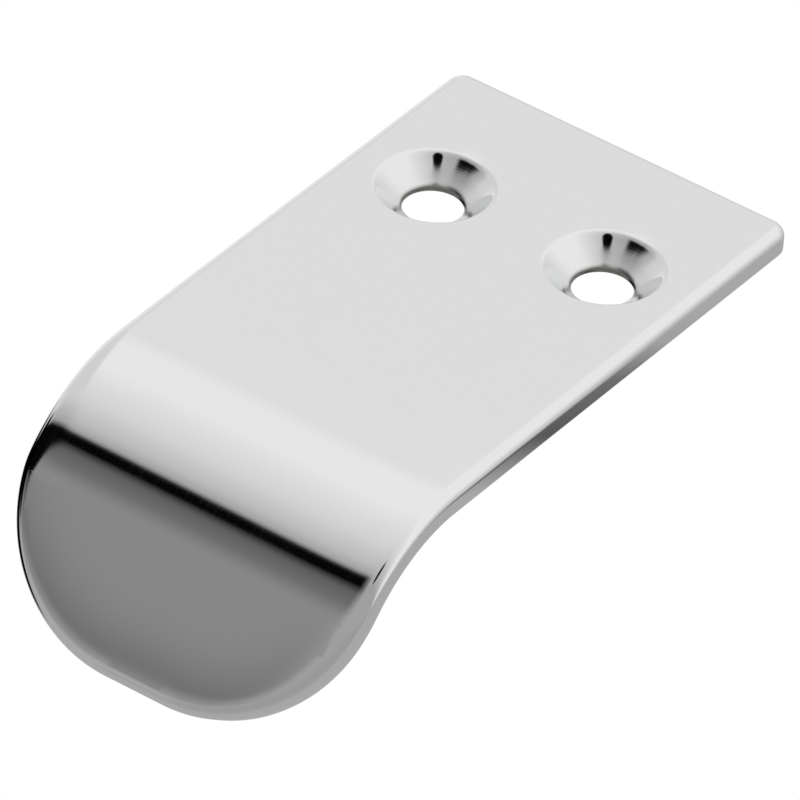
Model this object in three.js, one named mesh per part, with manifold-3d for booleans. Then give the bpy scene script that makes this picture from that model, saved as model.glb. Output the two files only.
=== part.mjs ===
// Sash lift handle: one strip of plate, pierced and countersunk for two wood screws, with its
// front end cut to a rounded tongue and bent down into a finger lip.
//
// Millimetres, +Z up. X runs across the plate and the lip is at the -Y end. The origin is on
// the underside, which is screwed to the sash, midway between the two screw holes.
//
// The plate is made in the order of the real one: a flat blank with rounded edges, one bend
// across it, and then the two screw holes.

import * as THREE from "three";
import { mergeVertices } from "three/addons/utils/BufferGeometryUtils.js";
import Module from "manifold-3d";

// ---- Driving dimensions -------------------------------------------------------------------

const plateWidth = 32;
const plateThickness = 2.4;
const flatLength = 44.5; // from the back edge to where the bend starts
const backCornerRadius = 1.5;
const outerEdgeRadius = 1; // rounding all round, on the face that shows
const undersideEdgeRadius = 0.35; // the same on the underside

const bendOuterRadius = 15;
const bendAngle = THREE.MathUtils.degToRad(56);
const lipLength = 11.4; // straight part of the lip, past the bend
const lipCornerRadius = 13.3;

const screwSpacing = 16.2;
const screwSetback = 14.2; // from the back edge to the line of the screw holes
const screwHeadDiameter = 9.6; // mouth of the countersink
const screwShankDiameter = 4.9;
const screwLand = 0.45; // height of the straight hole left under the countersink

const polishedPlate = { color: 0xd9dbdc, roughness: 0.08, metalness: 1 };

// ---- Worked-out sizes and places ----------------------------------------------------------

const halfWidth = plateWidth / 2;
const outerRounding = Math.min(outerEdgeRadius, plateThickness * 0.45);
const underRounding = Math.min(undersideEdgeRadius, plateThickness * 0.45);
const widestRounding = Math.max(outerRounding, underRounding);
const backCorner = Math.max(backCornerRadius, widestRounding);
const lipCorner = Math.min(lipCornerRadius, halfWidth - widestRounding);

// Along the blank while it is still flat. Lengths run along the outer face.
const bendLength = bendOuterRadius * bendAngle;
const backEdgeY = screwSetback;
const bendStartY = backEdgeY - flatLength;
const lipEndY = bendStartY - bendLength - lipLength;
const backCornerY = backEdgeY - backCorner;
const lipCornerY = lipEndY + lipCorner;

// ---- Smoothness ---------------------------------------------------------------------------

const outerRoundingSteps = 4;
const underRoundingSteps = 2;
const backCornerSteps = 4;
const lipCornerSteps = 14;
const bendSteps = 16;
const holeSteps = 48;
const samePlace = 1e-3;

const wasm = await Module();
wasm.setup();

// A closed three.js geometry as a solid that can be cut.
function solidFrom(geometry) {
  geometry.deleteAttribute("normal");
  geometry.deleteAttribute("uv");
  const merged = mergeVertices(geometry, samePlace);
  const corners = Array.from(merged.index.array);
  const triVerts = [];
  for (let i = 0; i < corners.length; i += 3) {
    const triangle = corners.slice(i, i + 3);
    if (new Set(triangle).size === 3) triVerts.push(...triangle);
  }
  return new wasm.Manifold(
    new wasm.Mesh({
      numProp: 3,
      vertProperties: merged.attributes.position.array,
      triVerts: new Uint32Array(triVerts),
    }),
  );
}

function geometryFrom(solid) {
  const mesh = solid.getMesh();
  const geometry = new THREE.BufferGeometry();
  geometry.setAttribute("position", new THREE.BufferAttribute(mesh.vertProperties, 3));
  geometry.setIndex(new THREE.BufferAttribute(mesh.triVerts, 1));
  geometry.computeVertexNormals();
  return geometry;
}

// ---- The flat blank -----------------------------------------------------------------------

// The blank's half-width at y, and the way its edge faces there.
function edgeAt(y) {
  const centreY = THREE.MathUtils.clamp(y, lipCornerY, backCornerY);
  const radius = y < centreY ? lipCorner : backCorner;
  const sin = THREE.MathUtils.clamp((y - centreY) / radius, -1, 1);
  const cos = Math.sqrt(1 - sin * sin);
  return { y, halfWidth: halfWidth - radius * (1 - cos), facingX: cos, facingY: sin };
}

// Places along the blank where its surface turns: the steps of the corners and of the bend.
function stations() {
  const steps = (count, at) => Array.from({ length: count + 1 }, (_, i) => at(i / count));
  const quarter = Math.PI / 2;
  const along = [
    ...steps(backCornerSteps, (t) => backCornerY + backCorner * Math.cos(t * quarter)),
    ...steps(bendSteps, (t) => bendStartY - bendLength * t),
    ...steps(lipCornerSteps, (t) => lipCornerY - lipCorner * Math.sin(t * quarter)),
  ];
  along.sort((a, b) => b - a);
  return along.filter((y, i) => i === 0 || along[i - 1] - y > samePlace).map(edgeAt);
}

// Steps down a rounded edge from its face: how far each is drawn in, and how far from the face.
function rounding(radius, steps) {
  return Array.from({ length: steps + 1 }, (_, i) => {
    const angle = (Math.PI / 2) * (i / steps);
    return { inset: radius * (1 - Math.sin(angle)), depth: radius * (1 - Math.cos(angle)) };
  });
}

// Heights up the blank's edge, from the underside, and how far the roundings draw it in.
function edgeLevels() {
  const under = rounding(underRounding, underRoundingSteps);
  const outer = rounding(outerRounding, outerRoundingSteps).reverse();
  return [
    ...under.map(({ inset, depth }) => ({ inset, z: depth })),
    ...outer.map(({ inset, depth }) => ({ inset, z: plateThickness - depth })),
  ];
}

// A box with one row of corners at each station and each level, pulled to the blank's shape.
function flatBlank() {
  const rows = stations();
  const levels = edgeLevels();
  const [lastRow, lastLevel] = [rows.length - 1, levels.length - 1];
  const blank = new THREE.BoxGeometry(2, lastRow, lastLevel, 1, lastRow, lastLevel);
  const corner = blank.attributes.position;
  for (let i = 0; i < corner.count; i++) {
    const row = rows[Math.round(lastRow / 2 - corner.getY(i))];
    const level = levels[Math.round(lastLevel / 2 + corner.getZ(i))];
    const x = row.halfWidth - level.inset * row.facingX;
    const y = row.y - level.inset * row.facingY;
    corner.setXYZ(i, Math.sign(corner.getX(i)) * x, y, level.z);
  }
  return blank;
}

// ---- The bend and the screw holes ---------------------------------------------------------

// Bends the blank round a line across its underside.
function bendLip(blank) {
  const corner = blank.attributes.position;
  const centreZ = plateThickness - bendOuterRadius;
  for (let i = 0; i < corner.count; i++) {
    const past = bendStartY - corner.getY(i);
    if (past <= 0) continue;
    const angle = Math.min(past / bendOuterRadius, bendAngle);
    const straight = Math.max(past - bendLength, 0);
    const radius = corner.getZ(i) - centreZ;
    corner.setY(i, bendStartY - radius * Math.sin(angle) - straight * Math.cos(angle));
    corner.setZ(i, centreZ + radius * Math.cos(angle) - straight * Math.sin(angle));
  }
  return blank;
}

// What a countersink bit takes away at one screw: the straight hole, and the cone above it.
function screwCutter(x) {
  const shank = screwShankDiameter / 2;
  const head = screwHeadDiameter / 2;
  const proud = 1; // how far the cutter passes both faces
  const flare = (head - shank) / (plateThickness - screwLand);
  const profile = [
    new THREE.Vector2(0, -proud),
    new THREE.Vector2(shank, -proud),
    new THREE.Vector2(shank, screwLand),
    new THREE.Vector2(head + proud * flare, plateThickness + proud),
    new THREE.Vector2(0, plateThickness + proud),
  ];
  const cutter = new THREE.LatheGeometry(profile, holeSteps);
  return solidFrom(cutter.rotateX(Math.PI / 2).translate(x, 0, 0));
}

// ---- The part -----------------------------------------------------------------------------

function liftPlate() {
  const plate = solidFrom(bendLip(flatBlank()))
    .subtract(screwCutter(-screwSpacing / 2))
    .subtract(screwCutter(screwSpacing / 2));
  const finish = new THREE.MeshStandardMaterial(polishedPlate);
  const mesh = new THREE.Mesh(geometryFrom(plate), finish);
  mesh.name = "lift_plate";
  return mesh;
}

const sashLift = new THREE.Group();
sashLift.add(liftPlate());

export default sashLift;
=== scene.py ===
"""A bright-plated sash lift in a light tent: the plate, its finishes, the stage and the camera.

The plate is made flat and then bent. A blank with rounded edges is pierced and countersunk for
two wood screws, its outer face is drawn down a little toward the rim of the lip, as polishing
leaves it, and one bend makes the finger lip.

Metres, +Z up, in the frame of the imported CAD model. X runs across the plate, the lip is at the
-Y end, and the origin is on the underside, midway between the two screw holes.
"""

from math import cos, hypot, pi, radians, sin

import bmesh
import bpy
from bpy.props import FloatProperty, FloatVectorProperty, PointerProperty
from mathutils import Matrix, Vector


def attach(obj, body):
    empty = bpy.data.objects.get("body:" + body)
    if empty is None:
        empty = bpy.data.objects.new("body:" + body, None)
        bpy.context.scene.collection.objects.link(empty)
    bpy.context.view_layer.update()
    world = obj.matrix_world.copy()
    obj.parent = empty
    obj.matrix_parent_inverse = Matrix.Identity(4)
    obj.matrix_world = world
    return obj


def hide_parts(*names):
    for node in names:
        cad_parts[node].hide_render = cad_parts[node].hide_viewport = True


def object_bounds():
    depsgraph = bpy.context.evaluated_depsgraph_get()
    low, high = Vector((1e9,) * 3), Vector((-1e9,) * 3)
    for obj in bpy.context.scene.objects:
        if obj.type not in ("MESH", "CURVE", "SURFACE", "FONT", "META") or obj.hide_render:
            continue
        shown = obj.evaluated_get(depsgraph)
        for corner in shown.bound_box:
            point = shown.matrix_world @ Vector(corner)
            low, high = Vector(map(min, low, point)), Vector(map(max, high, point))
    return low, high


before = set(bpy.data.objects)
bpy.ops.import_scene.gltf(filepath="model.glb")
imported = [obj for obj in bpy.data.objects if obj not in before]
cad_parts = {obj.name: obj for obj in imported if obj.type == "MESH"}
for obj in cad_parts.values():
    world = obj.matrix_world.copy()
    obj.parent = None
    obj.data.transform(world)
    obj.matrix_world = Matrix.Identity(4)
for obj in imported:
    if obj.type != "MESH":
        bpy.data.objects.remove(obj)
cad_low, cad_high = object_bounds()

bl_info = {
    "name": "Sash Lift",
    "version": (1, 0, 0),
    "blender": (4, 5, 0),
    "location": "View3D > Sidebar > Sash Lift",
    "description": "Builds a bright-plated sash lift and the light tent it stands in",
    "category": "Object",
}

MM = 0.001
SAME_PLACE = 0.0005 * MM
CAD_NODE = "lift_plate"
CAD_BODY = "root"
PLATING_COLOUR = (0.85, 0.86, 0.865)
ROLL_OFF_LEAD = 10 * MM  # how far before the bend the face starts to be drawn down


# ---- Settings -----------------------------------------------------------------------------


def length(name, description, default):
    """A length in metres that a user can change."""
    return FloatProperty(
        name=name, description=description, default=default, min=0.0, precision=5,
        unit="LENGTH", subtype="DISTANCE",
    )


def angle(name, description, degrees, **limits):
    """An angle that a user can change, kept in radians."""
    return FloatProperty(
        name=name, description=description, default=radians(degrees),
        unit="ROTATION", subtype="ANGLE", **limits,
    )


def colour(name, description, default):
    """A colour that a user can change."""
    return FloatVectorProperty(
        name=name, description=description, default=default, min=0.0, max=1.0,
        size=3, subtype="COLOR",
    )


class PlateSizes(bpy.types.PropertyGroup):
    """Sizes of the plate. Lengths along it are measured on the outer face while it is flat."""

    width: length("Width", "Across the plate", cad_high.x - cad_low.x)
    thickness: length("Thickness", "Gauge of the plate", cad_high.z)
    screw_setback: length("Screw setback", "Back edge to the line of the screws", cad_high.y)
    flat_length: length("Flat length", "Back edge to the start of the bend", 44.5 * MM)
    lip_length: length("Lip length", "Straight part of the lip, past the bend", 11.4 * MM)
    bend_radius: length("Bend radius", "Outer face of the bend", 15 * MM)
    bend_angle: angle(
        "Bend angle", "How far the lip is turned down", 56, min=0.0, max=radians(120)
    )
    back_corner: length("Back corner radius", "In plan, at the fixing end", 1.5 * MM)
    lip_corner: length("Lip corner radius", "In plan, at the end of the lip", 13.3 * MM)
    outer_edge: length("Outer edge radius", "Rounding of the edge of the outer face", 1 * MM)
    under_edge: length("Underside edge radius", "Rounding of the edge below", 0.35 * MM)
    roll_off: length("Roll-off", "Width of the rim that polishing draws down", 8 * MM)
    roll_off_slope: angle(
        "Roll-off slope", "Slope of the outer face at the rim of the lip", 6.4,
        min=0.0, max=radians(15),
    )
    screw_spacing: length("Screw spacing", "Between the two screw holes", 16.2 * MM)
    screw_head: length("Countersink diameter", "Mouth of the countersink", 9.6 * MM)
    screw_shank: length("Hole diameter", "Clearance hole for the shank", 4.9 * MM)
    screw_land: length("Land", "Straight hole left below the cone", 0.45 * MM)
    seat_dish: angle(
        "Seat dish", "How much steeper the cone is at its mouth than below", 11,
        min=0.0, max=radians(20),
    )
    hole_edge: length("Hole edge radius", "Softening of the rims of a hole", 0.18 * MM)

    @property
    def bend_start(self):
        """Place along the plate, in Y, where the bend starts."""
        return self.screw_setback - self.flat_length

    @property
    def bend_length(self):
        """Length of the bend along the outer face."""
        return self.bend_radius * self.bend_angle

    @property
    def bend_end(self):
        """Place along the flat plate, in Y, where the bend ends."""
        return self.bend_start - self.bend_length

    @property
    def lip_end(self):
        """Place along the flat plate, in Y, of the end of the lip."""
        return self.bend_end - self.lip_length

    @property
    def roll_off_start(self):
        """Place along the plate, in Y, where its face starts to be drawn down at the sides."""
        return self.bend_start + ROLL_OFF_LEAD


class PlateFinish(bpy.types.PropertyGroup):
    """Colours of the plating."""

    plating: colour("Plating", "Bright plating, everywhere but in the bores", PLATING_COLOUR)
    bore: colour("Bore", "Thin plating inside the screw holes", (0.30, 0.30, 0.28))


# ---- The lift plate -----------------------------------------------------------------------

BACK_CORNER_STEPS = 8
LIP_CORNER_STEPS = 48
OUTER_EDGE_STEPS = 8
UNDER_EDGE_STEPS = 4
HOLE_EDGE_STEPS = 3
BEND_STEPS = 96
HOLE_STEPS = 96
SEAT_STEPS = 6
ROLL_OFF_STEPS = 10
ROLL_OFF_RISE = 24 * MM  # how far along the plate the roll-off takes to reach full depth
HOLE_MARGIN = 1.2 * MM  # flat left round a countersink, inside its square panel
FACE_FINISH, HOLE_FINISH, UNDER_FINISH = 0, 1, 2  # the plate's materials, in order
FLAT_PLACE = "flat_place"  # the attribute that keeps where a corner was before the bend


def bevel(bm, geom, radius, steps, affect):
    """Rounds edges or corners with arcs."""
    return bmesh.ops.bevel(
        bm, geom=geom, offset=radius, offset_type="OFFSET", segments=steps, profile=0.5,
        affect=affect, clamp_overlap=False, material=-1, face_strength_mode="NEW",
    )


def all_at_height(verts, z):
    """Whether every corner is at one height."""
    return all(abs(v.co.z - z) < SAME_PLACE for v in verts)


def blank_outline(bm, sizes):
    """The blank's outer face: a rectangle with its four corners rounded in plan."""
    full_length = sizes.screw_setback - sizes.lip_end
    middle_y = sizes.screw_setback - full_length / 2
    bmesh.ops.create_grid(bm, x_segments=1, y_segments=1, size=0.5)
    bmesh.ops.scale(bm, verts=bm.verts, vec=(sizes.width, full_length, 1))
    bmesh.ops.translate(bm, verts=bm.verts, vec=(0, middle_y, sizes.thickness))
    back = [v for v in bm.verts if v.co.y > middle_y]
    lip = [v for v in bm.verts if v.co.y < middle_y]
    bevel(bm, back, sizes.back_corner, BACK_CORNER_STEPS, "VERTICES")
    bevel(bm, lip, sizes.lip_corner, LIP_CORNER_STEPS, "VERTICES")


def blank(bm, sizes):
    """The flat blank: the outline with its thickness and its rounded edges."""
    blank_outline(bm, sizes)
    made = bmesh.ops.extrude_face_region(bm, geom=bm.faces[:], use_keep_orig=True)
    under = [v for v in made["geom"] if isinstance(v, bmesh.types.BMVert)]
    bmesh.ops.translate(bm, verts=under, vec=(0, 0, -sizes.thickness))
    bmesh.ops.recalc_face_normals(bm, faces=bm.faces)
    for height, radius, steps in (
        (sizes.thickness, sizes.outer_edge, OUTER_EDGE_STEPS),
        (0, sizes.under_edge, UNDER_EDGE_STEPS),
    ):
        edges = [e for e in bm.edges if all_at_height(e.verts, height)]
        bevel(bm, edges, radius, steps, "EDGES")


def cut(bm, place, direction):
    """Scores the whole plate along a plane."""
    geom = bm.verts[:] + bm.edges[:] + bm.faces[:]
    bmesh.ops.bisect_plane(
        bm, geom=geom, dist=SAME_PLACE, plane_co=place, plane_no=direction,
    )


def score_across(bm, start, stop, steps):
    """Scores the whole plate straight across, in equal steps along it."""
    for i in range(steps + 1):
        cut(bm, (0, start + (stop - start) * i / steps, 0), (0, 1, 0))


def ring_lip_face(bm, sizes):
    """Divides the outer face of the lip into rings that follow its rim, for the roll-off."""
    cut(bm, (0, sizes.roll_off_start, 0), (0, 1, 0))
    lip_face = [
        f for f in bm.faces
        if f.calc_center_bounds().y < sizes.roll_off_start
        and all_at_height(f.verts, sizes.thickness)
    ]
    step = (sizes.roll_off - sizes.outer_edge) / ROLL_OFF_STEPS
    for _ in range(ROLL_OFF_STEPS):
        bmesh.ops.inset_region(
            bm, faces=lip_face, thickness=step, use_boundary=True, use_even_offset=True,
        )


def circle(bm, x, z, radius):
    """The edges of one circle of a screw hole."""
    place = Matrix.Translation((x, 0, z))
    made = bmesh.ops.create_circle(bm, segments=HOLE_STEPS, radius=radius, matrix=place)
    return list({e for v in made["verts"] for e in v.link_edges})


def open_panel(bm, x, z, half):
    """Opens the square panel round a screw, on one face, and gives its divided edges."""
    centre = Vector((x, 0, z))
    inside = [f for f in bm.faces if (f.calc_center_bounds() - centre).length < SAME_PLACE]
    edges = [e for f in inside for e in f.edges]
    bmesh.ops.delete(bm, geom=inside, context="FACES_ONLY")
    bmesh.ops.subdivide_edges(bm, edges=edges, cuts=HOLE_STEPS // 4 - 1)
    on_square = {
        v for v in bm.verts
        if abs(v.co.z - z) < SAME_PLACE
        and abs(max(abs(v.co.x - x), abs(v.co.y)) - half) < SAME_PLACE
    }
    return [e for e in bm.edges if e.verts[0] in on_square and e.verts[1] in on_square]


def seat_levels(sizes):
    """Height and radius down the screw's seat: a cone, a little dished."""
    head, shank = sizes.screw_head / 2, sizes.screw_shank / 2
    depth = sizes.thickness - sizes.screw_land
    sag = (head - shank) * sizes.seat_dish / 2
    levels = []
    for i in range(SEAT_STEPS + 1):
        down = i / SEAT_STEPS
        height = sizes.thickness - depth * down - sag * down * (1 - down)
        levels.append((height, head + (shank - head) * down))
    return levels


def screw_hole(bm, sizes, x):
    """Pierces and countersinks the plate for one screw."""
    top, shank = sizes.thickness, sizes.screw_shank / 2
    half = sizes.screw_head / 2 + HOLE_MARGIN
    for side in (-half, half):
        cut(bm, (x + side, 0, 0), (1, 0, 0))
        cut(bm, (0, side, 0), (0, 1, 0))
    # Loops in one plane don't bridge straight, so the end circles start inside the plate.
    inside = sizes.screw_land / 2
    panels = [open_panel(bm, x, z, half) for z in (top, 0)]
    (_, mouth), *seat = seat_levels(sizes)
    levels = [(top - inside, mouth), *seat, (inside, shank)]
    circles = [circle(bm, x, z, radius) for z, radius in levels]
    loops = [panels[0], *circles, panels[1]]
    for upper, lower in zip(loops, loops[1:]):
        for face in bmesh.ops.bridge_loops(bm, edges=upper + lower)["faces"]:
            face.material_index = FACE_FINISH if upper is panels[0] else HOLE_FINISH
    for end, rise in ((circles[0], inside), (circles[-1], -inside)):
        corners = list({v for e in end for v in e.verts})
        bmesh.ops.translate(bm, verts=corners, vec=(0, 0, rise))
    bmesh.ops.recalc_face_normals(bm, faces=bm.faces)
    rims = circles[0] + circles[-2] + circles[-1]
    bevel(bm, rims, sizes.hole_edge, HOLE_EDGE_STEPS, "EDGES")


def finish_underside(bm):
    """Gives the flat underside its own finish."""
    for face in bm.faces:
        if all(v.co.z < SAME_PLACE for v in face.verts):
            face.material_index = UNDER_FINISH


def remember_flat_place(bm):
    """Keeps each corner's place on the flat plate, for finishes that follow the plate."""
    flat_place = bm.verts.layers.float_vector.new(FLAT_PLACE)
    for vert in bm.verts:
        vert[flat_place] = vert.co


def inward(sizes, x, y):
    """How far in from the sides and the rounded lip end a place on the flat plate is."""
    past_side = abs(x) - (sizes.width / 2 - sizes.lip_corner)
    past_end = sizes.lip_end + sizes.lip_corner - y
    round_part = hypot(max(past_side, 0), max(past_end, 0))
    return sizes.lip_corner - round_part - min(max(past_side, past_end), 0)


def roll_off_rim(bm, sizes):
    """Draws the outer face down toward the rim of the lip. The underside stays flat."""
    full_fall = sizes.roll_off_slope * sizes.roll_off / 3
    for vert in bm.verts:
        x, y, z = vert.co
        onto_lip = min(max((sizes.roll_off_start - y) / ROLL_OFF_RISE, 0), 1)
        onto_lip *= onto_lip * (3 - 2 * onto_lip)
        nearness = max(1 - inward(sizes, x, y) / sizes.roll_off, 0)
        fall = full_fall * nearness**3 * onto_lip
        vert.co.z -= fall * z / sizes.thickness


def bend_lip(bm, sizes):
    """Bends the flat plate round a line across its underside."""
    centre_z = sizes.thickness - sizes.bend_radius
    for vert in bm.verts:
        past = sizes.bend_start - vert.co.y
        if past <= 0:
            continue
        turned = min(past / sizes.bend_radius, sizes.bend_angle)
        straight = max(past - sizes.bend_length, 0)
        radius = vert.co.z - centre_z
        vert.co.y = sizes.bend_start - radius * sin(turned) - straight * cos(turned)
        vert.co.z = centre_z + radius * cos(turned) - straight * sin(turned)


def finished_piece(bm, name, materials):
    """A shown piece from a mesh that already stands in its place, smooth but with true flats."""
    mesh = bpy.data.meshes.new(name)
    bmesh.ops.remove_doubles(bm, verts=bm.verts, dist=SAME_PLACE)
    bmesh.ops.recalc_face_normals(bm, faces=bm.faces)
    bm.to_mesh(mesh)
    bm.free()
    mesh.shade_smooth()
    for material in materials:
        mesh.materials.append(material)
    piece = bpy.data.objects.new(name, mesh)
    bpy.context.scene.collection.objects.link(piece)
    flats = piece.modifiers.new("True flats", "WEIGHTED_NORMAL")
    flats.weight = 100
    flats.use_face_influence = True
    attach(piece, CAD_BODY)
    return piece


# ---- Nodes --------------------------------------------------------------------------------


def feed(tree, socket, value):
    """Joins an input to another node's output, or sets it to a value."""
    if isinstance(value, bpy.types.NodeSocket):
        tree.links.new(value, socket)
    else:
        socket.default_value = value


def add_node(tree, kind, inputs=None, **settings):
    """A new node with its settings made and its named inputs fed."""
    node = tree.nodes.new(kind)
    for name, value in settings.items():
        setattr(node, name, value)
    for name, value in (inputs or {}).items():
        feed(tree, node.inputs[name], value)
    return node


def calculate(tree, operation, *inputs):
    """One step of arithmetic on sockets or numbers."""
    node = add_node(tree, "ShaderNodeMath", operation=operation)
    for socket, value in zip(node.inputs, inputs):
        feed(tree, socket, value)
    return node.outputs["Value"]


def along_axes(tree, vector):
    """The X, Y and Z of a vector."""
    return add_node(tree, "ShaderNodeSeparateXYZ", {"Vector": vector}).outputs


def map_range(tree, value, low, high, at_low, at_high, curve="LINEAR"):
    """Value carried from one range to another, and held at its ends."""
    inputs = {
        "Value": value, "From Min": low, "From Max": high, "To Min": at_low, "To Max": at_high,
    }
    return add_node(tree, "ShaderNodeMapRange", inputs, interpolation_type=curve).outputs["Result"]


def blend_between(tree, value, low, high, at_low, at_high):
    """Colour at_low where value is below low, at_high above high, and a soft mix between."""
    share = map_range(tree, value, low, high, 0, 1, "SMOOTHSTEP")
    mix = {"Factor": share, "A": at_low, "B": at_high}
    return add_node(tree, "ShaderNodeMix", mix, data_type="RGBA").outputs["Result"]


def colour_ramp(tree, place, stops):
    """Colours at stops along a line from 0 to 1."""
    node = add_node(tree, "ShaderNodeValToRGB", {"Fac": place})
    points = node.color_ramp.elements
    while len(points) < len(stops):
        points.new(1)
    for point, (position, shown) in zip(points, stops):
        point.position = position
        point.color = shown
    return node.outputs["Color"]


def relief(tree, height, strength, depth):
    """Fine relief, as a change in the way that a surface faces."""
    inputs = {"Height": height, "Strength": strength, "Distance": depth}
    return add_node(tree, "ShaderNodeBump", inputs).outputs["Normal"]


# ---- Finishes -----------------------------------------------------------------------------

# Noise scales are per metre, so 1000 gives marks about 1 mm across.
HAZE_SCALE = 220
MOP_MARKS = (7000, 90)  # across the plate and along it
STRIP_GRAIN = (9000, 250)
RING_SCALE = 1800  # wave scale: about 0.17 mm from ring to ring

# Roughness from the brightest to the dullest of each finish.
POLISHED = (0.035, 0.075)
SEAT = (0.06, 0.24)
SATIN = (0.22, 0.34)

# Strength and depth of the relief in each finish.
MOP_RELIEF = (0.10, 0.001 * MM)
RING_RELIEF = (0.05, 0.004 * MM)
GRAIN_RELIEF = (0.3, 0.004 * MM)


def plating(name, plating_colour):
    """A new plated finish, its nodes and its shader."""
    material = bpy.data.materials.new(name)
    material.use_nodes = True
    shader = material.node_tree.nodes["Principled BSDF"]
    shader.inputs["Base Color"].default_value = (*plating_colour, 1)
    shader.inputs["Metallic"].default_value = 1
    return material, material.node_tree, shader


def place_on_plate(tree):
    """Where on the flat plate the surface was."""
    return add_node(tree, "ShaderNodeAttribute", attribute_name=FLAT_PLACE).outputs["Vector"]


def lengthwise_lines(tree, scales, detail):
    """Noise drawn out into lines along the plate, and round the bend with it."""
    across, along = scales
    stretch = {"Vector": place_on_plate(tree), "Scale": (across, along, across)}
    place = add_node(tree, "ShaderNodeMapping", stretch).outputs["Vector"]
    noise = {"Vector": place, "Scale": 1, "Detail": detail}
    return add_node(tree, "ShaderNodeTexNoise", noise).outputs["Fac"]


def polished_plating(finish):
    """Bright plating over polished metal, with soft cloudy haze and hair-fine mop marks."""
    material, tree, shader = plating("Polished plating", finish.plating)
    clouds = {"Vector": place_on_plate(tree), "Scale": HAZE_SCALE, "Detail": 4}
    haze = add_node(tree, "ShaderNodeTexNoise", clouds).outputs["Fac"]
    marks = lengthwise_lines(tree, MOP_MARKS, 2)
    wear = calculate(tree, "ADD", haze, marks)
    feed(tree, shader.inputs["Roughness"], map_range(tree, wear, 0.75, 1.25, *POLISHED))
    feed(tree, shader.inputs["Normal"], relief(tree, marks, *MOP_RELIEF))
    return material


def turning_rings(tree, sizes, axes):
    """Rings round the axis of whichever screw is nearer."""
    side = calculate(tree, "ABSOLUTE", axes["X"])
    side = calculate(tree, "SUBTRACT", side, sizes.screw_spacing / 2)
    across = add_node(tree, "ShaderNodeCombineXYZ", {"X": side, "Y": axes["Y"]})
    waves = {"Vector": across.outputs["Vector"], "Scale": RING_SCALE, "Distortion": 3}
    rings = add_node(tree, "ShaderNodeTexWave", waves, wave_type="RINGS", rings_direction="Z")
    return rings.outputs["Fac"]


def countersink_plating(sizes, finish):
    """Plating in the screw holes: bright at the mouth, duller down the seat, dark in the bore."""
    material, tree, shader = plating("Countersink plating", finish.plating)
    axes = along_axes(tree, add_node(tree, "ShaderNodeTexCoord").outputs["Object"])
    top, land = sizes.thickness, sizes.screw_land
    dulling = map_range(tree, axes["Z"], top * 0.75, top * 0.4, *SEAT, "SMOOTHSTEP")
    feed(tree, shader.inputs["Roughness"], dulling)
    bore, seat = (*finish.bore, 1), (*finish.plating, 1)
    tone = blend_between(tree, axes["Z"], land * 0.9, land * 1.5, bore, seat)
    feed(tree, shader.inputs["Base Color"], tone)
    rings = turning_rings(tree, sizes, axes)
    feed(tree, shader.inputs["Normal"], relief(tree, rings, *RING_RELIEF))
    return material


def satin_plating(finish):
    """Plating over the unpolished underside, which still has the grain of the rolled strip."""
    material, tree, shader = plating("Satin plating", finish.plating)
    grain = lengthwise_lines(tree, STRIP_GRAIN, 3)
    feed(tree, shader.inputs["Roughness"], map_range(tree, grain, 0.3, 0.7, *SATIN))
    feed(tree, shader.inputs["Normal"], relief(tree, grain, *GRAIN_RELIEF))
    return material


class SASHLIFT_OT_plate(bpy.types.Operator):
    """Build the bent, countersunk and plated lift plate"""

    bl_idname = "sash_lift.plate"
    bl_label = "Lift Plate"

    def execute(self, context):
        sizes, finish = context.scene.sash_lift_plate, context.scene.sash_lift_finish
        bm = bmesh.new()
        blank(bm, sizes)
        ring_lip_face(bm, sizes)
        score_across(bm, sizes.roll_off_start, sizes.bend_start, ROLL_OFF_STEPS)
        score_across(bm, sizes.bend_start, sizes.bend_end, BEND_STEPS)
        for side in (-1, 1):
            screw_hole(bm, sizes, side * sizes.screw_spacing / 2)
        finish_underside(bm)
        remember_flat_place(bm)
        roll_off_rim(bm, sizes)
        bend_lip(bm, sizes)
        finishes = [
            polished_plating(finish), countersink_plating(sizes, finish), satin_plating(finish),
        ]
        plate = finished_piece(bm, "polished_lift_plate", finishes)
        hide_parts(CAD_NODE)
        return {"FINISHED"}


# ---- The camera ---------------------------------------------------------------------------


class StageSettings(bpy.types.PropertyGroup):
    """Where the camera stands."""

    aim: FloatVectorProperty(
        name="Aim", description="The point that the camera looks at",
        default=(0.24 * MM, -15.19 * MM, -5.61 * MM), subtype="TRANSLATION", unit="LENGTH",
    )
    azimuth: angle("Azimuth", "Camera's place round the plate, from the -Y side", 33.5)
    elevation: angle("Elevation", "Camera's height above the plate", 37.12)
    roll: angle("Roll", "Turn of the camera about its own line of sight", 4.32)
    distance: length("Distance", "Camera to the aim", 0.9755)
    lens: FloatProperty(
        name="Lens", description="Focal length in millimetres", default=570.3, min=1,
    )


def aim_camera(settings):
    """A long lens that looks down on the plate from its lip end."""
    data = bpy.data.cameras.new("Long lens")
    data.lens = settings.lens
    data.clip_start, data.clip_end = 0.05, 20
    camera = bpy.data.objects.new("Camera", data)
    bpy.context.scene.collection.objects.link(camera)
    turn = Matrix.Rotation(settings.azimuth, 4, "Z")
    tip = Matrix.Rotation(pi / 2 - settings.elevation, 4, "X")
    roll = Matrix.Rotation(settings.roll, 4, "Z")
    back = Matrix.Translation((0, 0, settings.distance))
    camera.matrix_world = Matrix.Translation(settings.aim) @ turn @ tip @ roll @ back
    bpy.context.scene.camera = camera


# ---- The light tent -----------------------------------------------------------------------

# Places in the tent are two angles. The first runs round the plate from overhead, 0, over the
# lip end, 90, to the floor, 180, and the other way over the back edge. The second runs to the
# side, from -90 on the left to 90 on the right, and its sine is called sideways.

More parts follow.
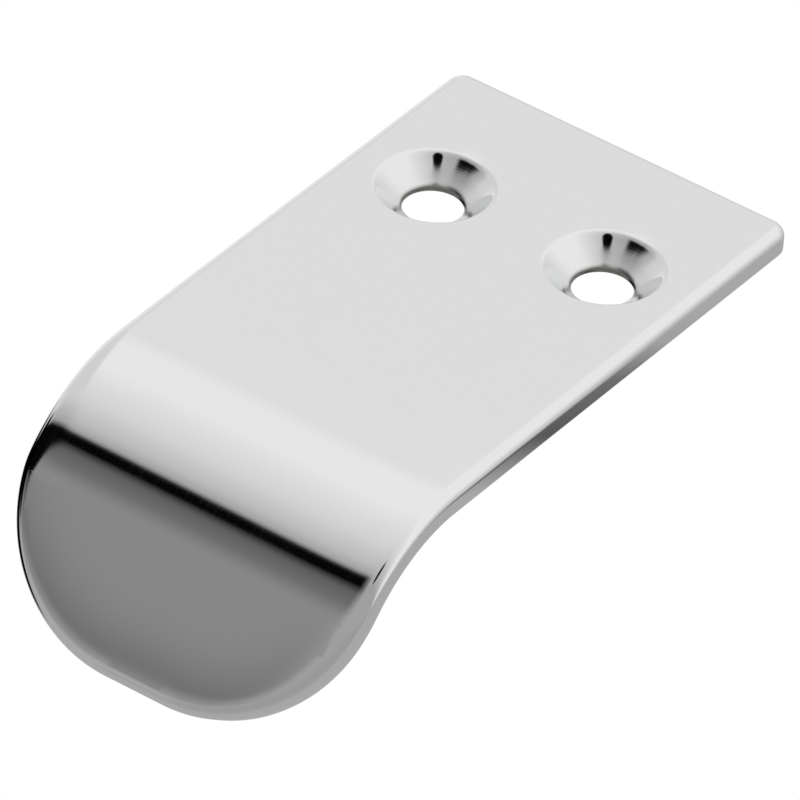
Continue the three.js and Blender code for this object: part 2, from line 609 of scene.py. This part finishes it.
# Light along three arcs: (angle round, shade in the plating from 0, black, to 1, white).
# Left: white overhead, a black flag low in front, a pale floor.
TENT_LEFT = (
    (-180, 0.65), (-100, 0.90), (-50, 0.82), (10, 0.80), (28, 0.64), (32, 0.02),
    (68, 0.02), (76, 0.45), (95, 0.60), (130, 0.70), (180, 0.65),
)
# Middle: a bright lamp behind overhead, a narrow black gap, a grey front, a pale floor.
TENT_MIDDLE = (
    (-180, 0.65), (-130, 0.65), (-100, 0.80), (-60, 0.86), (-48, 0.86), (-35, 0.90),
    (-15, 0.90), (10, 0.82), (24, 0.73), (30, 0.63), (32.5, 0.02), (38, 0.02),
    (43, 0.37), (50, 0.42), (60, 0.53), (66, 0.53), (73, 0.44), (82, 0.60), (95, 0.65),
    (180, 0.65),
)
# Right: the same lamp and front with no gap between them.
TENT_RIGHT = (
    (-180, 0.65), (-125, 0.65), (-90, 0.80), (-60, 0.90), (-15, 0.90), (10, 0.82),
    (36, 0.62), (60, 0.63), (88, 0.60), (110, 0.60), (140, 0.65), (180, 0.65),
)
LEFT_TO_MIDDLE = (-0.56, -0.53)  # sideways, where one arc gives way to the next
MIDDLE_TO_RIGHT = (-0.28, -0.15)
LEAN_FROM = 40  # past this angle round, both of those edges lean to the left
LEAN = 1.2  # how far they lean, sideways for each whole turn
# Round black flags: (angle round, angle to the side, radius of the black, and of its edge).
BLACK_DISCS = ((27, 15, 6, 8), (180, -69, 19, 26), (63, -70, 15, 20))
BLACK = (0.0005, 0.0005, 0.0005, 1)


def light(shade):
    """The light whose image in the plating looks this grey, from 0 to 1 on the screen."""
    linear = shade / 12.92 if shade <= 0.04045 else ((shade + 0.055) / 1.055) ** 2.4
    return (*(linear / channel for channel in PLATING_COLOUR), 1)


def turn_share(degrees):
    """An angle round the plate, from -180 to 180, as a share of the whole turn."""
    return (degrees + 180) / 360


def tent_arc(tree, turn, stops):
    """The tent's light along one arc over the plate. Turn is a share of the whole turn."""
    return colour_ramp(tree, turn, [(turn_share(at), light(shade)) for at, shade in stops])


def black_disc(tree, direction, behind, disc):
    """A round black flag in the tent, in front of the light behind it."""
    turned, aside, inner, outer = (radians(degrees) for degrees in disc)
    middle = (sin(aside), -cos(aside) * sin(turned), cos(aside) * cos(turned))
    toward = add_node(tree, "ShaderNodeVectorMath", operation="DOT_PRODUCT")
    feed(tree, toward.inputs[0], direction)
    feed(tree, toward.inputs[1], middle)
    return blend_between(tree, toward.outputs["Value"], cos(outer), cos(inner), behind, BLACK)


def light_tent(scene):
    """The tent and its black flags, as the light that reaches the plate from all round."""
    world = bpy.data.worlds.new("Light tent")
    world.use_nodes = True
    scene.world = world
    tree = world.node_tree
    direction = add_node(tree, "ShaderNodeTexCoord").outputs["Generated"]
    axes = along_axes(tree, direction)
    forward = calculate(tree, "MULTIPLY", axes["Y"], -1)
    angle_round = calculate(tree, "ARCTAN2", forward, axes["Z"])
    turn = calculate(tree, "MULTIPLY_ADD", angle_round, 0.5 / pi, 0.5)
    past = calculate(tree, "SUBTRACT", turn, turn_share(LEAN_FROM))
    past = calculate(tree, "MAXIMUM", past, 0)
    leaning = calculate(tree, "MULTIPLY_ADD", past, LEAN, axes["X"])
    left, middle, right = (
        tent_arc(tree, turn, stops) for stops in (TENT_LEFT, TENT_MIDDLE, TENT_RIGHT)
    )
    whole = blend_between(tree, leaning, *LEFT_TO_MIDDLE, left, middle)
    whole = blend_between(tree, leaning, *MIDDLE_TO_RIGHT, whole, right)
    for disc in BLACK_DISCS:
        whole = black_disc(tree, direction, whole, disc)
    feed(tree, tree.nodes["Background"].inputs["Color"], whole)


# ---- The floor, the backdrop and the card of painted floor shade --------------------------

ROOM_RADIUS = 2.0
CARD_WIDTH = 30 * MM
CARD_X, CARD_Z = 33 * MM, -14 * MM
CARD_FRONT, CARD_BACK = -12 * MM, 20 * MM
# Painted shade on the card, from 0, clear, to 1, black, from its front end, 0, to its back end, 1.
PAINTED_SHADE_DEPTH = ((0, 0), (0.3, 0.75), (0.6, 0.6), (0.8, 0.1), (1, 0))


def bare_material(name):
    """A new material and its nodes, with only its output in them."""
    material = bpy.data.materials.new(name)
    material.use_nodes = True
    tree = material.node_tree
    tree.nodes.remove(tree.nodes["Principled BSDF"])
    return material, tree


def stage_piece(bm, name, material, seen_by_camera, seen_in_plating):
    """A piece of the stage, which casts no shadow and adds no light but what is seen of it."""
    mesh = bpy.data.meshes.new(name)
    bm.to_mesh(mesh)
    bm.free()
    mesh.materials.append(material)
    piece = bpy.data.objects.new(name, mesh)
    bpy.context.scene.collection.objects.link(piece)
    piece.visible_camera = seen_by_camera
    piece.visible_glossy = seen_in_plating
    piece.visible_diffuse = False
    piece.visible_transmission = False
    piece.visible_volume_scatter = False
    piece.visible_shadow = False


def white_paper():
    """Paper that looks pure white however it is lit."""
    material, tree = bare_material("White paper")
    glow = add_node(tree, "ShaderNodeEmission", {"Color": (1, 1, 1, 1), "Strength": 1})
    feed(tree, tree.nodes["Material Output"].inputs["Surface"], glow.outputs["Emission"])
    return material


def white_sweep(floor_z):
    """A white floor and a white wall all round, both out of the plating's sight."""
    paper = white_paper()
    floor = bmesh.new()
    bmesh.ops.create_circle(floor, cap_ends=True, segments=64, radius=ROOM_RADIUS)
    bmesh.ops.translate(floor, verts=floor.verts, vec=(0, 0, floor_z))
    stage_piece(floor, "Floor", paper, seen_by_camera=True, seen_in_plating=False)
    wall = bmesh.new()
    bmesh.ops.create_uvsphere(wall, u_segments=48, v_segments=24, radius=ROOM_RADIUS)
    stage_piece(wall, "Backdrop", paper, seen_by_camera=True, seen_in_plating=False)


def fading_floor_shade():
    """Painted shade: a black card, seen only in the plating, that fades out toward its two ends.
    """
    material, tree = bare_material("Painted floor shade")
    place = add_node(tree, "ShaderNodeTexCoord").outputs["Object"]
    along = map_range(tree, along_axes(tree, place)["Y"], CARD_FRONT, CARD_BACK, 0, 1)
    cover = colour_ramp(tree, along, [(at, (much, much, much, 1)) for at, much in PAINTED_SHADE_DEPTH])
    clear = add_node(tree, "ShaderNodeBsdfTransparent")
    black = add_node(tree, "ShaderNodeEmission", {"Color": (0, 0, 0, 1)})
    card = add_node(tree, "ShaderNodeMixShader", {"Fac": cover})
    feed(tree, card.inputs[1], clear.outputs["BSDF"])
    feed(tree, card.inputs[2], black.outputs["Emission"])
    feed(tree, tree.nodes["Material Output"].inputs["Surface"], card.outputs["Shader"])
    return material


def painted_floor_shade():
    """Painted shade on the floor, low on the right: a dark card, which only the plate's right edge
    mirrors.
    """
    card = bmesh.new()
    bmesh.ops.create_grid(card, x_segments=1, y_segments=1, size=0.5)
    bmesh.ops.scale(card, verts=card.verts, vec=(CARD_WIDTH, CARD_BACK - CARD_FRONT, 1))
    middle_y = (CARD_FRONT + CARD_BACK) / 2
    bmesh.ops.translate(card, verts=card.verts, vec=(CARD_X, middle_y, CARD_Z))
    stage_piece(card, "Painted floor shade", fading_floor_shade(), seen_by_camera=False, seen_in_plating=True)


class SASHLIFT_OT_stage(bpy.types.Operator):
    """Set up the floor, the light tent and the camera"""

    bl_idname = "sash_lift.stage"
    bl_label = "Light Tent and Camera"

    def execute(self, context):
        scene = context.scene
        scene.view_settings.view_transform = "Standard"
        aim_camera(scene.sash_lift_stage)
        light_tent(scene)
        white_sweep(cad_low.z)
        # Painted shade on the floor beside the plate, which only the plating mirrors.
        painted_floor_shade()
        return {"FINISHED"}


# ---- Panel and registration ---------------------------------------------------------------


class SASHLIFT_PT_panel(bpy.types.Panel):
    """The sash lift's pieces, sizes, colours and stage"""

    bl_idname = "SASHLIFT_PT_panel"
    bl_label = "Sash Lift"
    bl_space_type = "VIEW_3D"
    bl_region_type = "UI"
    bl_category = "Sash Lift"

    def draw(self, context):
        scene = context.scene
        for operator, groups in (
            (SASHLIFT_OT_plate, (scene.sash_lift_plate, scene.sash_lift_finish)),
            (SASHLIFT_OT_stage, (scene.sash_lift_stage,)),
        ):
            box = self.layout.box()
            box.operator(operator.bl_idname)
            for settings in groups:
                for name in settings.__annotations__:
                    box.prop(settings, name)


CLASSES = (
    PlateSizes,
    PlateFinish,
    StageSettings,
    SASHLIFT_OT_plate,
    SASHLIFT_OT_stage,
    SASHLIFT_PT_panel,
)


def register():
    for cls in CLASSES:
        bpy.utils.register_class(cls)
    bpy.types.Scene.sash_lift_plate = PointerProperty(type=PlateSizes)
    bpy.types.Scene.sash_lift_finish = PointerProperty(type=PlateFinish)
    bpy.types.Scene.sash_lift_stage = PointerProperty(type=StageSettings)


def unregister():
    del bpy.types.Scene.sash_lift_stage
    del bpy.types.Scene.sash_lift_finish
    del bpy.types.Scene.sash_lift_plate
    for cls in reversed(CLASSES):
        bpy.utils.unregister_class(cls)


def main():
    """Builds everything."""
    register()
    bpy.ops.sash_lift.plate()
    bpy.ops.sash_lift.stage()


if __name__ == "__main__":
    main()
